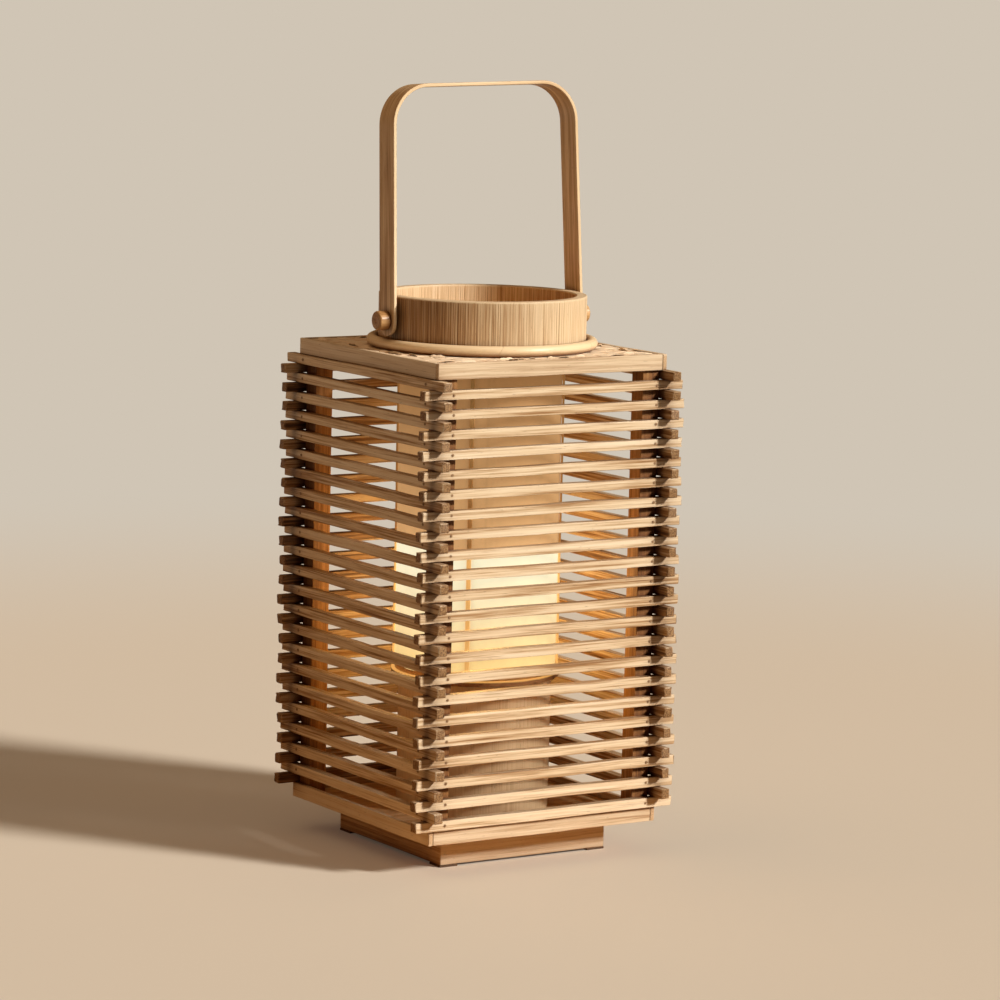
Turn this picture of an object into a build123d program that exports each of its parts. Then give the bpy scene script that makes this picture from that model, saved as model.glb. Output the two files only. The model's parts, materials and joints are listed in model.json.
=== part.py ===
"""Andon floor lamp: a log-cabin stack of bamboo slats round a lift-out paper shade.

Millimetres, +Z up. The origin is on the floor under the middle of the lamp.
The front is -Y, and +X runs along the front face. The shade stands on a drum inside the
slatted body, and lifts out through the round collar once the bail handle is swung aside.
"""
import os
from math import pi, radians, sin, tan

from build123d import *

# Frame: the tray at the bottom and the frame at the top share one square outline
FRAME_WIDTH = 266.0
RAIL_THICKNESS = 5.0
TRAY_HEIGHT = 15.0
FLOOR_THICKNESS = 6.0
TOP_RAIL_HEIGHT = 16.0
PANEL_THICKNESS = 10.0
MAT_THICKNESS = 1.5
POST_WIDTH = 20.0

# Plinth under the tray, on four pads
PLINTH_WIDTH = 194.0
PLINTH_HEIGHT = 30.0
PLINTH_BOARD = 12.0
PLINTH_BLOCK = 20.0
BLOCK_RELIEF = 2.0
PAD_WIDTH = 20.0
PAD_HEIGHT = 2.0

# Slats: courses lie on each other, front and back first, then left and right
COURSES = 44
COURSE_MEAN = 10.0
COURSE_GRADE = 0.045       # the lowest course is this share thicker, the highest thinner
SLAT_WIDTH = 10.0
SLAT_REACH = 153.0         # longest reach of a slat end from the middle of the lamp
SLAT_STAGGER = 2.5         # how far the hand-cut ends fall short of that reach
SLAT_PLAY = 0.1

# Brads that nail each slat to the posts
BRAD_HEAD_RADIUS = 1.2
BRAD_HEAD_HEIGHT = 0.4
BRAD_RADIUS = 0.7
BRAD_LENGTH = 22.0

# Collar hoop and the rattan ring round its foot
COLLAR_RADIUS = 104.0
COLLAR_BORE = 93.0
COLLAR_TOP = 556.0
RATTAN_RADIUS = 5.7
RATTAN_GAP = 0.2

# Bail handle: one bent bamboo strip on two turned pins
HANDLE_TOP = 765.0         # middle of the bar
HANDLE_SKEW = 4.5          # the hand-bent right shoulder stands this much higher
HANDLE_WIDTH = 28.0
HANDLE_THICKNESS = 3.6
HANDLE_HALF_LOW = 112.0    # outer face of a leg at the pins
HANDLE_HALF_HIGH = 107.5   # outer face of a leg below the bend
HANDLE_BEND = 41.0
HANDLE_TAIL = 15.5         # the leg goes on this far below its pin
HANDLE_LEAN = 4.0          # degrees that the standing handle leans back
PIVOT_HEIGHT = 532.0
PIN_RADIUS = 4.0
PIN_CLEARANCE = 0.05
PIN_HEAD_RADIUS = 9.5
PIN_HEAD_LENGTH = 11.6
PIN_PLAY = 0.4
WASHER_RADIUS = 7.5
WASHER_THICKNESS = 3.6

# Shade: paper over hoops, held by four ribs outside
SHADE_RADIUS = 81.5
PAPER_THICKNESS = 0.8
SHADE_TOP = 496.0
SHADE_SPLIT = 306.0        # the glowing washi ends and the tan paper begins here
SEAT_GAP = 0.3
HOOP_THICKNESS = 3.0
HOOP_HEIGHT = 6.0
RIB_WIDTH = 6.0
RIB_THICKNESS = 2.6
RIB_COUNT = 4
RIB_ANGLE = -128.0
BAFFLE_THICKNESS = 1.5
FINGER_HOLE_RADIUS = 12.0
VENT_RADIUS = 6.0
VENT_CIRCLE = 52.0
VENT_COUNT = 8

# Pedestal drum that carries the shade and the lampholder
DRUM_RADIUS = 77.0
DRUM_WALL = 2.0
DECK_TOP = 177.0
DECK_THICKNESS = 5.0
DECK_RADIUS = 84.5
LOCATOR_WIDTH = 7.0
LOCATOR_HEIGHT = 4.0
FOOT_RING_WIDTH = 4.0
FOOT_RING_HEIGHT = 10.0

# Lampholder on its threaded stem, and the LED bulb in it
STEM_RADIUS = 5.0
STEM_BORE = 3.6
STEM_LOW = 24.0
STEM_NUT = 17.0
STEM_NUT_HEIGHT = 4.0
HOLDER_RADIUS = 20.0
HOLDER_LOW = 156.0
HOLDER_HIGH = 200.0
HOLDER_BORE = 14.0
HOLDER_BORE_LOW = 170.0
HOLDER_FLANGE_RADIUS = 26.0
HOLDER_FLANGE_HEIGHT = 6.0
BULB_CAP_RADIUS = 13.2
BULB_CAP_LOW = 172.0
BULB_NECK_RADIUS = 15.0
BULB_SHOULDER_RADIUS = 24.0
BULB_SHOULDER_HEIGHT = 229.0
GLOBE_RADIUS = 30.0
GLOBE_WALL = 1.2

# Cord inlet in the back of the plinth
GLAND_BORE = 3.5
GLAND_RADIUS = 8.0
GLAND_FLANGE_RADIUS = 12.0
GLAND_FLANGE = 3.0
GLAND_HEIGHT = 17.0
GLAND_TAIL = 7.0
GLAND_NUT = 22.0
GLAND_NUT_HEIGHT = 5.0
HOLE_PLAY = 0.1

# Heights and widths that follow
TRAY_BOTTOM = PAD_HEIGHT + PLINTH_HEIGHT
FLOOR_TOP = TRAY_BOTTOM + FLOOR_THICKNESS
STACK_BOTTOM = TRAY_BOTTOM + TRAY_HEIGHT
STACK_TOP = STACK_BOTTOM + COURSES * COURSE_MEAN
FRAME_TOP = STACK_TOP + TOP_RAIL_HEIGHT
MAT_TOP = FRAME_TOP - 0.5
PANEL_TOP = MAT_TOP - MAT_THICKNESS
PANEL_BOTTOM = PANEL_TOP - PANEL_THICKNESS
FRAME_HALF = FRAME_WIDTH / 2
INSIDE_HALF = FRAME_HALF - RAIL_THICKNESS
POST_CENTRE = INSIDE_HALF - POST_WIDTH / 2
SLAT_FACE = FRAME_HALF + SLAT_WIDTH / 2
PLINTH_HALF = PLINTH_WIDTH / 2
PLINTH_INSIDE = PLINTH_HALF - PLINTH_BOARD
DECK_BOTTOM = DECK_TOP - DECK_THICKNESS
HOOP_RADIUS = SHADE_RADIUS - PAPER_THICKNESS

SIDES = {"front": 0, "right": 90, "back": 180, "left": 270}
CORNERS = {"front_left": (-1, -1), "front_right": (1, -1), "back_right": (1, 1), "back_left": (-1, 1)}


def block(x_span, y_span, z_span):
    """A box between two values on each axis."""
    spans = (x_span, y_span, z_span)
    middle = [(low + high) / 2 for low, high in spans]
    return Pos(*middle) * Box(*[high - low for low, high in spans])


def disc(radius, low, high):
    """A round bar standing on Z."""
    return Pos(0, 0, (low + high) / 2) * Cylinder(radius, high - low)


def tube(outer, inner, low, high):
    """A round tube standing on Z."""
    return disc(outer, low, high) - disc(inner, low - 1, high + 1)


def bar_x(radius, low, high, height):
    """A round bar along X at a height."""
    bar = Rot(0, 90, 0) * Cylinder(radius, high - low)
    return Pos((low + high) / 2, 0, height) * bar


def bar_y(radius, low, high, height):
    """A round bar along Y at a height."""
    bar = Rot(90, 0, 0) * Cylinder(radius, high - low)
    return Pos(0, (low + high) / 2, height) * bar


def hex_nut(across_flats, bore, height):
    """A hexagon nut standing on the origin."""
    outline = RegularPolygon(across_flats / 2, 6, major_radius=False)
    return extrude(outline, height) - disc(bore, -1, height + 1)


def turned(shape, side):
    """A front piece turned to another side of the lamp."""
    return Rot(0, 0, SIDES[side]) * shape


# Plinth and tray ---------------------------------------------------------------------------

def foot_pads():
    centre = PLINTH_HALF - PAD_WIDTH / 2
    pad = Pos(0, 0, PAD_HEIGHT / 2) * Box(PAD_WIDTH, PAD_WIDTH, PAD_HEIGHT)
    return [Pos(x * centre, y * centre, 0) * pad for x, y in CORNERS.values()]


def plinth_board():
    """The front board of the plinth, mitred at both ends."""
    outline = Polyline(
        (-PLINTH_HALF, -PLINTH_HALF),
        (PLINTH_HALF, -PLINTH_HALF),
        (PLINTH_INSIDE, -PLINTH_INSIDE),
        (-PLINTH_INSIDE, -PLINTH_INSIDE),
        close=True,
    )
    return extrude(Pos(0, 0, PAD_HEIGHT) * make_face(outline), PLINTH_HEIGHT)


def plinth_blocks():
    centre = PLINTH_INSIDE - PLINTH_BLOCK / 2
    low = PAD_HEIGHT + BLOCK_RELIEF
    one = Pos(0, 0, (low + TRAY_BOTTOM) / 2) * Box(PLINTH_BLOCK, PLINTH_BLOCK, TRAY_BOTTOM - low)
    return [Pos(x * centre, y * centre, 0) * one for x, y in CORNERS.values()]


def plinth():
    boards = {f"plinth_{side}": turned(plinth_board(), side) for side in SIDES}
    inlet_hole = bar_y(GLAND_RADIUS + HOLE_PLAY, PLINTH_INSIDE - 1, PLINTH_HALF + 1, GLAND_HEIGHT)
    boards["plinth_back"] = boards["plinth_back"] - inlet_hole
    return boards


def tray_rail(side):
    """The left and right rails run the full length; front and back fit between them."""
    half = INSIDE_HALF if side in ("front", "back") else FRAME_HALF
    rail = block((-half, half), (-FRAME_HALF, -INSIDE_HALF), (TRAY_BOTTOM, STACK_BOTTOM))
    return turned(rail, side)


def tray_floor():
    span = (-INSIDE_HALF, INSIDE_HALF)
    floor = block(span, span, (TRAY_BOTTOM, FLOOR_TOP))
    return floor - disc(STEM_RADIUS + HOLE_PLAY, TRAY_BOTTOM - 1, FLOOR_TOP + 1)


def corner_post(x, y):
    height = PANEL_BOTTOM - FLOOR_TOP
    place = Pos(x * POST_CENTRE, y * POST_CENTRE, FLOOR_TOP + height / 2)
    return place * Box(POST_WIDTH, POST_WIDTH, height)


# Slats and brads ---------------------------------------------------------------------------

def course_height(course):
    return COURSE_MEAN * (1 + COURSE_GRADE * (1 - 2 * course / (COURSES - 1)))


def course_bottom(course):
    return STACK_BOTTOM + sum(course_height(lower) for lower in range(course))


def courses_of(side):
    """Front and back slats lie in the even courses, left and right ones in the odd."""
    first = 0 if side in ("front", "back") else 1
    return range(first, COURSES, 2)


def slat_end(course, phase):
    """Reach of one hand-cut slat end."""
    return SLAT_REACH - SLAT_STAGGER * (0.5 + 0.5 * sin(2.4 * course + phase))


def slats(side):
    phase = radians(SIDES[side])
    pieces = []
    for course in courses_of(side):
        low = course_bottom(course)
        x_span = (-slat_end(course, phase), slat_end(course, phase + 2.0))
        y_span = (-SLAT_FACE, -SLAT_FACE + SLAT_WIDTH)
        slat = block(x_span, y_span, (low, low + course_height(course) - SLAT_PLAY))
        pieces.append(turned(slat, side))
    return pieces


def brad():
    """One brad driven along +Y, its head standing on the plane y = 0."""
    head = bar_y(BRAD_HEAD_RADIUS, -BRAD_HEAD_HEIGHT, 0, 0)
    return head + bar_y(BRAD_RADIUS, -BRAD_HEAD_HEIGHT, BRAD_LENGTH, 0)


def brads(sides):
    one = brad()
    pieces = []
    for side in sides:
        for course in courses_of(side):
            height = course_bottom(course) + course_height(course) / 2
            for x in (-POST_CENTRE, POST_CENTRE):
                pieces.append(turned(Pos(x, -SLAT_FACE, height) * one, side))
    return pieces


# Top frame, collar and rattan ring ---------------------------------------------------------

def top_rail(side):
    """Each rail laps the end of the next one round, like the sails of a windmill."""
    rail = block((-FRAME_HALF, INSIDE_HALF), (-FRAME_HALF, -INSIDE_HALF), (STACK_TOP, FRAME_TOP))
    return turned(rail, side)


def square_plate(low, high, bore):
    span = (-INSIDE_HALF, INSIDE_HALF)
    return block(span, span, (low, high)) - disc(bore, low - 1, high + 1)


def collar_hoop():
    hoop = tube(COLLAR_RADIUS, COLLAR_BORE, MAT_TOP, COLLAR_TOP)
    hoop = fillet(hoop.edges().group_by(Axis.Z)[-1], 1.5)
    reach = COLLAR_RADIUS + 1
    return hoop - bar_x(PIN_RADIUS + PIN_CLEARANCE, -reach, reach, PIVOT_HEIGHT)


def rattan_ring():
    centre = COLLAR_RADIUS + RATTAN_GAP + RATTAN_RADIUS
    return Pos(0, 0, MAT_TOP + RATTAN_RADIUS) * Torus(centre, RATTAN_RADIUS)


# Handle and its pins -----------------------------------------------------------------------

def arch(half_low, half_high, top, bend):
    """The area under a round-cornered arch that starts at the pins."""
    low = PIVOT_HEIGHT - HANDLE_TAIL
    line = FilletPolyline(
        (-half_low, low),
        (-half_high, top - HANDLE_SKEW / 2),
        (half_high, top + HANDLE_SKEW / 2),
        (half_low, low),
        radius=bend,
    )
    return make_face(Plane.XZ * (line + Line(line @ 1, line @ 0)))


def handle_bail():
    outer = arch(HANDLE_HALF_LOW, HANDLE_HALF_HIGH, HANDLE_TOP, HANDLE_BEND)
    inner = arch(
        HANDLE_HALF_LOW - HANDLE_THICKNESS,
        HANDLE_HALF_HIGH - HANDLE_THICKNESS,
        HANDLE_TOP - HANDLE_THICKNESS,
        HANDLE_BEND - HANDLE_THICKNESS,
    )
    strip = extrude(outer - inner, HANDLE_WIDTH / 2, both=True)
    tail = bar_x(HANDLE_WIDTH / 2, -FRAME_HALF, FRAME_HALF,
                 PIVOT_HEIGHT - HANDLE_TAIL + HANDLE_WIDTH / 2)
    above = block(
        (-FRAME_HALF, FRAME_HALF),
        (-HANDLE_WIDTH / 2, HANDLE_WIDTH / 2),
        (PIVOT_HEIGHT - HANDLE_TAIL + HANDLE_WIDTH / 2, HANDLE_TOP + HANDLE_SKEW),
    )
    strip = strip & (tail + above)
    strip -= bar_x(PIN_RADIUS + PIN_CLEARANCE, -FRAME_HALF, FRAME_HALF, PIVOT_HEIGHT)
    pivot = Pos(0, 0, PIVOT_HEIGHT)
    return pivot * Rot(-HANDLE_LEAN, 0, 0) * pivot.inverse() * strip


def handle_pin():
    """The right-hand pin: a shank glued in the collar, with a turned knob outside the leg."""
    head_low = HANDLE_HALF_LOW + PIN_PLAY
    head = bar_x(PIN_HEAD_RADIUS, head_low, head_low + PIN_HEAD_LENGTH, PIVOT_HEIGHT)
    head = fillet(head.edges().group_by(Axis.X)[-1], 1.6)
    return head + bar_x(PIN_RADIUS, COLLAR_BORE + 0.5, head_low + 1, PIVOT_HEIGHT)


def handle_washers():
    low = COLLAR_RADIUS + 0.1
    high = low + WASHER_THICKNESS
    washer = bar_x(WASHER_RADIUS, low, high, PIVOT_HEIGHT)
    washer -= bar_x(PIN_RADIUS + PIN_CLEARANCE, low - 1, high + 1, PIVOT_HEIGHT)
    return [washer, mirror(washer, Plane.YZ)]


# Shade ------------------------------------------------------------------------------------

def shade_hoop(low):
    return tube(HOOP_RADIUS, HOOP_RADIUS - HOOP_THICKNESS, low, low + HOOP_HEIGHT)


def shade_ribs():
    inner = SHADE_RADIUS + 0.1
    rib = block(
        (inner, inner + RIB_THICKNESS),
        (-RIB_WIDTH / 2, RIB_WIDTH / 2),
        (DECK_TOP + SEAT_GAP, SHADE_TOP),
    )
    return [Rot(0, 0, RIB_ANGLE + 360 / RIB_COUNT * turn) * rib for turn in range(RIB_COUNT)]


def shade_baffle():
    """A vented disc on the middle hoop, with a finger hole to lift the shade by."""
    high = SHADE_SPLIT + BAFFLE_THICKNESS
    plate = tube(HOOP_RADIUS - 0.1, FINGER_HOLE_RADIUS, SHADE_SPLIT, high)
    for turn in range(VENT_COUNT):
        vent = Pos(VENT_CIRCLE, 0, 0) * disc(VENT_RADIUS, SHADE_SPLIT - 1, high + 1)
        plate -= Rot(0, 0, 360 / VENT_COUNT * turn) * vent
    return plate


def shade():
    low = DECK_TOP + SEAT_GAP
    return {
        "shade_paper_lower": tube(SHADE_RADIUS, HOOP_RADIUS, low, SHADE_SPLIT),
        "shade_paper_upper": tube(SHADE_RADIUS, HOOP_RADIUS, SHADE_SPLIT, SHADE_TOP),
        "shade_hoop_bottom": shade_hoop(low),
        "shade_hoop_middle": shade_hoop(SHADE_SPLIT - HOOP_HEIGHT),
        "shade_hoop_top": shade_hoop(SHADE_TOP - HOOP_HEIGHT),
        "shade_ribs": shade_ribs(),
        "shade_baffle": shade_baffle(),
    }


# Pedestal, lampholder and bulb -------------------------------------------------------------

def pedestal_deck():
    """A turned disc whose raised ring centres the shade."""
    deck = tube(DECK_RADIUS, HOLDER_RADIUS + HOLE_PLAY, DECK_BOTTOM, DECK_TOP)
    locator = HOOP_RADIUS - HOOP_THICKNESS - SEAT_GAP
    return deck + tube(locator, locator - LOCATOR_WIDTH, DECK_TOP, DECK_TOP + LOCATOR_HEIGHT)


def stem_nuts():
    nut = hex_nut(STEM_NUT, STEM_RADIUS, STEM_NUT_HEIGHT)
    heights = (TRAY_BOTTOM - STEM_NUT_HEIGHT, FLOOR_TOP, HOLDER_LOW - STEM_NUT_HEIGHT)
    return [Pos(0, 0, height) * nut for height in heights]


def lampholder():
    """A socket whose flange grips the deck from below."""
    body = disc(HOLDER_RADIUS, HOLDER_LOW, HOLDER_HIGH)
    body += disc(HOLDER_FLANGE_RADIUS, DECK_BOTTOM - HOLDER_FLANGE_HEIGHT, DECK_BOTTOM)
    body -= disc(STEM_RADIUS, HOLDER_LOW - 1, HOLDER_BORE_LOW)
    return body - disc(HOLDER_BORE, HOLDER_BORE_LOW, HOLDER_HIGH + 1)


def lampholder_ring():
    return tube(HOLDER_FLANGE_RADIUS, HOLDER_RADIUS, DECK_TOP, DECK_TOP + HOLDER_FLANGE_HEIGHT)


def bulb_housing():
    height = BULB_SHOULDER_HEIGHT - HOLDER_HIGH
    cone = Cone(BULB_NECK_RADIUS, BULB_SHOULDER_RADIUS, height)
    return Pos(0, 0, HOLDER_HIGH + height / 2) * cone


def bulb_globe():
    """A thin globe that stands on the housing's rim."""
    rise = (GLOBE_RADIUS**2 - BULB_SHOULDER_RADIUS**2) ** 0.5
    centre = Pos(0, 0, BULB_SHOULDER_HEIGHT + rise)
    shell = centre * (Sphere(GLOBE_RADIUS) - Sphere(GLOBE_RADIUS - GLOBE_WALL))
    return shell - disc(GLOBE_RADIUS, BULB_SHOULDER_HEIGHT - GLOBE_RADIUS, BULB_SHOULDER_HEIGHT)


def pedestal():
    drum_bore = DRUM_RADIUS - DRUM_WALL
    return {
        "pedestal_drum": tube(DRUM_RADIUS, drum_bore, FLOOR_TOP, DECK_BOTTOM),
        "pedestal_foot_ring": tube(
            drum_bore, drum_bore - FOOT_RING_WIDTH, FLOOR_TOP, FLOOR_TOP + FOOT_RING_HEIGHT
        ),
        "pedestal_deck": pedestal_deck(),
        "stem_tube": tube(STEM_RADIUS, STEM_BORE, STEM_LOW, HOLDER_BORE_LOW - 2),
        "stem_nuts": stem_nuts(),
        "lampholder": lampholder(),
        "lampholder_ring": lampholder_ring(),
        "bulb_cap": disc(BULB_CAP_RADIUS, BULB_CAP_LOW, HOLDER_HIGH),
        "bulb_housing": bulb_housing(),
        "bulb_globe": bulb_globe(),
    }


def cable_gland():
    """A flanged bush through the back board."""
    bush = bar_y(GLAND_RADIUS, PLINTH_INSIDE - GLAND_TAIL, PLINTH_HALF + 1, GLAND_HEIGHT)
    bush += bar_y(GLAND_FLANGE_RADIUS, PLINTH_HALF, PLINTH_HALF + GLAND_FLANGE, GLAND_HEIGHT)
    return bush - bar_y(GLAND_BORE, 0, FRAME_HALF, GLAND_HEIGHT)


def gland_nut():
    nut = hex_nut(GLAND_NUT, GLAND_RADIUS, GLAND_NUT_HEIGHT)
    return Pos(0, PLINTH_INSIDE, GLAND_HEIGHT) * Rot(90, 0, 0) * nut


def build_nodes():
    nodes = {"foot_pads": foot_pads(), "plinth_blocks": plinth_blocks(), "tray_floor": tray_floor()}
    nodes.update(plinth())
    for side in SIDES:
        nodes[f"tray_rail_{side}"] = tray_rail(side)
        nodes[f"slats_{side}"] = slats(side)
        nodes[f"top_rail_{side}"] = top_rail(side)
    for corner, (x, y) in CORNERS.items():
        nodes[f"post_{corner}"] = corner_post(x, y)
    nodes["brads_front_back"] = brads(("front", "back"))
    nodes["brads_left_right"] = brads(("left", "right"))
    nodes["top_panel"] = square_plate(PANEL_BOTTOM, PANEL_TOP, COLLAR_BORE)
    nodes["top_mat"] = square_plate(PANEL_TOP, MAT_TOP, COLLAR_BORE)
    nodes["collar_hoop"] = collar_hoop()
    nodes["rattan_ring"] = rattan_ring()
    nodes["handle_bail"] = handle_bail()
    nodes["handle_pin_right"] = handle_pin()
    nodes["handle_pin_left"] = mirror(handle_pin(), Plane.YZ)
    nodes["handle_washers"] = handle_washers()
    nodes.update(shade())
    nodes.update(pedestal())
    nodes["cable_gland"] = cable_gland()
    nodes["gland_nut"] = gland_nut()
    return nodes


os.makedirs("parts", exist_ok=True)
for name, shape in build_nodes().items():
    solids = Compound(children=shape) if isinstance(shape, list) else shape
    export_step(solids, f"parts/{name}.step")
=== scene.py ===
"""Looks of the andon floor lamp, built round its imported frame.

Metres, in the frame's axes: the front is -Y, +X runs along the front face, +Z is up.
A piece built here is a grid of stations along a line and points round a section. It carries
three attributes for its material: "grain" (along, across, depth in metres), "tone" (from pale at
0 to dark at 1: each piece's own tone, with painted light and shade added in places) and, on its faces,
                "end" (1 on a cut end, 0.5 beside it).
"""
import json
from math import atan2, cos, exp, hypot, pi, radians, sin

import bmesh
import bpy
import numpy as np
from mathutils import Matrix, Vector

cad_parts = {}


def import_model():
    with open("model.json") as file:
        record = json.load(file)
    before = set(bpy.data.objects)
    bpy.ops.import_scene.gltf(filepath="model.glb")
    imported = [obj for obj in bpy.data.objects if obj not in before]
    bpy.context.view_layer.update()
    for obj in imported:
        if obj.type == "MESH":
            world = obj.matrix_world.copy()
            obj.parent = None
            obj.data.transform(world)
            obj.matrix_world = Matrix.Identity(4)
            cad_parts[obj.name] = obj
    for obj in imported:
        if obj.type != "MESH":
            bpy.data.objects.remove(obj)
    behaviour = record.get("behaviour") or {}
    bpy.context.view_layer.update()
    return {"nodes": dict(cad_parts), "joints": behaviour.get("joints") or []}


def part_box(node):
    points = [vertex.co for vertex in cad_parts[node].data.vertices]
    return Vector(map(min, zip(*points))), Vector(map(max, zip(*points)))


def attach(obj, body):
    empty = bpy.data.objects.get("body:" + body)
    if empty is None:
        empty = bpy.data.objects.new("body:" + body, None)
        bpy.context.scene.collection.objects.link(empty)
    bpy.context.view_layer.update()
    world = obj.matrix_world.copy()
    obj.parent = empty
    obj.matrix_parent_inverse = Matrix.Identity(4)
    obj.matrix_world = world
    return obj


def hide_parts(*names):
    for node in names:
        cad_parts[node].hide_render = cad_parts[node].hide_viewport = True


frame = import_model()
NODES = frame["nodes"]

MM = 0.001
SIDES = {"front": 0, "right": 1, "back": 0, "left": 1}  # with the axis that sticks follow
CORNERS = ("front_left", "front_right", "back_right", "back_left")

# The camera looks down the lamp's front left corner
CAMERA_AZIMUTH = radians(-32.764)
CAMERA_ELEVATION = radians(7.872)
CAMERA_ROLL = radians(1.32)
CAMERA_DISTANCE = 4.201
CAMERA_LENS_MM = 150.68
CAMERA_SENSOR_MM = 36.0
TARGET_RIGHT = 0.0216
TARGET_HEIGHT = 0.3479

# Light: a key from the front right, wide fills from behind left and overhead, and the bulb
SUNS = (
    # Name, direction, strength, angle in degrees, colour
    ("key", (0.48, -0.73, 0.48), 4.15, 9.0, (255, 250, 242)),
    ("fill", (-0.70, 0.36, 0.62), 0.39, 75, (255, 190, 124)),
    ("overhead", (-0.15, 0.10, 1.0), 0.42, 70, (255, 226, 190)),
)
SKY_COLOUR = (255, 208, 154)
SKY_STRENGTH = 0.04
BACKGROUND = (208, 197, 181)
FLOOR_COLOUR = (216, 204, 187)
FLOOR_GLOW = 0.06
FLOOR_BOUNCE_NEAR = (200, 152, 96)
FLOOR_BOUNCE_FAR = (98, 72, 46)
FLOOR_BOUNCE_REACH = (0.22, 0.75)
FLOOR_SIZE = 16.0
FLOOR_FADE = (1.0, 2.6)
BULB_COLOUR = (1.0, 0.53, 0.135)  # linear
BULB_HEIGHT = 0.245
BULB_POWERS = ((BULB_HEIGHT, 0.50), (0.400, 0.050))  # height, watts
BULB_SOFTNESS = 0.03

# Slats, rails and posts
SLAT_EDGE = 0.9 * MM
SLAT_CUT = 0.06  # how far off square the slats' ends are, as a slope
SLAT_CHIP = 1.2 * MM
RAIL_EDGE = 0.7 * MM
RAIL_WANDER = 0.08 * MM
POST_EDGE = 1.2 * MM
POST_WANDER = 0.1 * MM
STATION_GAP = 8 * MM
WAVE_LENGTH = 0.3  # of a stick's slowest wander
WAVE_SPREAD = (0.7, 1.3)
BOW = 3  # how much further a stick wanders at its middle
UNEVENNESS = 0.012  # how much a stick's width varies
END_TAPER = 1.6  # how far a stick's ends draw in, in edge radii
END_CHIP = 0.14
BULB_LEVEL_DARKENING = 0.32  # how much darker the slats level with the bulb are
BULB_LEVEL_REACH = 60 * MM
# Tones set per board to brighten or darken its side for how the light falls on it: painted light and shade
BOARD_LIGHT_AND_SHADE = {"top_rail_front": 0.65, "top_rail_left": 0.1, "tray_rail_left": 0.0,
               "plinth_left": 0.95, "plinth_front": 0.25}
INNER_SHADE = 0.42  # how much darker the slats' inward sides are: painted shade
END_SHADES = {"front": 0.0, "right": 0.5, "back": 0.5, "left": 0.3}  # and how much darker near their ends: painted shade
END_SHADE_REACH = 17 * MM  # how far in from their ends the painted shade reaches
CUT_END = 1.0  # the "end" attribute on a cut end
END_RIM = 0.5  # and on the faces beside it

# Shade
PAPER_THICKNESS = 0.5 * MM
PAPER_ROWS = 36
PAPER_STEPS = 240
PAPER_LUMPS = 6
PAPER_DENT = 0.22 * MM
PAPER_TAPER = 1.6 * MM  # how far the lit paper draws in at its foot
TAPER_HEIGHT = 10 * MM
SEAM_ANGLE = radians(-118)
SEAM_LAP = 0.10  # radians
SEAM_TONES = ((SEAM_LAP, 0.12), (0.03, 0.22))  # reach in radians, tone
RIB_ANGLES = [radians(-128) + turn * pi / 2 for turn in range(4)]
RIB_WIDTH = 5.4 * MM
RIB_THICKNESS = 2.6 * MM
RIB_EDGE = 0.8 * MM
RIB_WANDER = 0.08 * MM
RIB_SLIMMING = 0.14
RIB_JOINT_SWELL = 0.3
RIB_JOINT_REACH = 2.5 * MM
RIB_JOINT_HEIGHT = 0.215
RIB_JOINT_STEP = 0.07
RIB_PAINTED_SHADOW = 1.1  # how much darker the paper is behind a rib: a painted shadow
RIB_SHADOW_REACH = 4.5 * MM
# Heights between which the glow changes: on the papers, and as painted light on the ribs and the deck
LIT_FADE = (0.196, 0.285)
TAN_FADE = (0.306, 0.490)
RIB_FADE = (0.303, 0.309)
DECK_FADE = (0.1755, 0.1768)

# Bail handle, in its own plane before it leans
HANDLE_LEAN = radians(4)
HANDLE_HALF_LOW = 112 * MM
HANDLE_HALF_HIGH = 107.5 * MM
HANDLE_TOP = 765 * MM
HANDLE_SKEW = 4.5 * MM
HANDLE_BEND = 41 * MM
HANDLE_THICKNESS = 3.6 * MM
HANDLE_WIDTH = 28 * MM
HANDLE_EDGE = 0.9 * MM
HANDLE_TAIL = 15.5 * MM
HANDLE_STEP = 5 * MM
HANDLE_GRAIN_START = 0.8
BEND_STEPS = 16
TAIL_STEPS = 9
TAIL_START = 0.12  # radians round a tail's end where its first station is
TAIL_CLEAR = 1.02  # reach of its stations, in its radii
# The broad faces darker than the narrow edges: partly the skin's own colour, partly painted shade
HANDLE_EDGE_TONE = 0.1
HANDLE_FACE_TONE = 0.95
PIVOT_HEIGHT = frame["joints"][0]["pos_m"][2]
PINS = (("left", -1, 0.6), ("right", 1, 0.0))  # which, side, tone: the left pin darker as painted shade, the right one paler as painted light
PIN_SHANK = 4 * MM
PIN_STEPS = 48
PIN_GAP = 0.4 * MM  # between the leg's outer face and the knob

rng = np.random.default_rng(20)
GRAIN_SPAN = 5  # metres


# --- Colour

def linear(colour):
    """An 8-bit display colour as linear RGBA."""
    share = np.array(colour) / 255
    low, high = share / 12.92, ((share + 0.055) / 1.055) ** 2.4
    return (*np.where(share <= 0.04045, low, high), 1.0)


def new_object(name, data):
    made = bpy.data.objects.new(name, data)
    bpy.context.scene.collection.objects.link(made)
    return made


# --- Geometry

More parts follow.
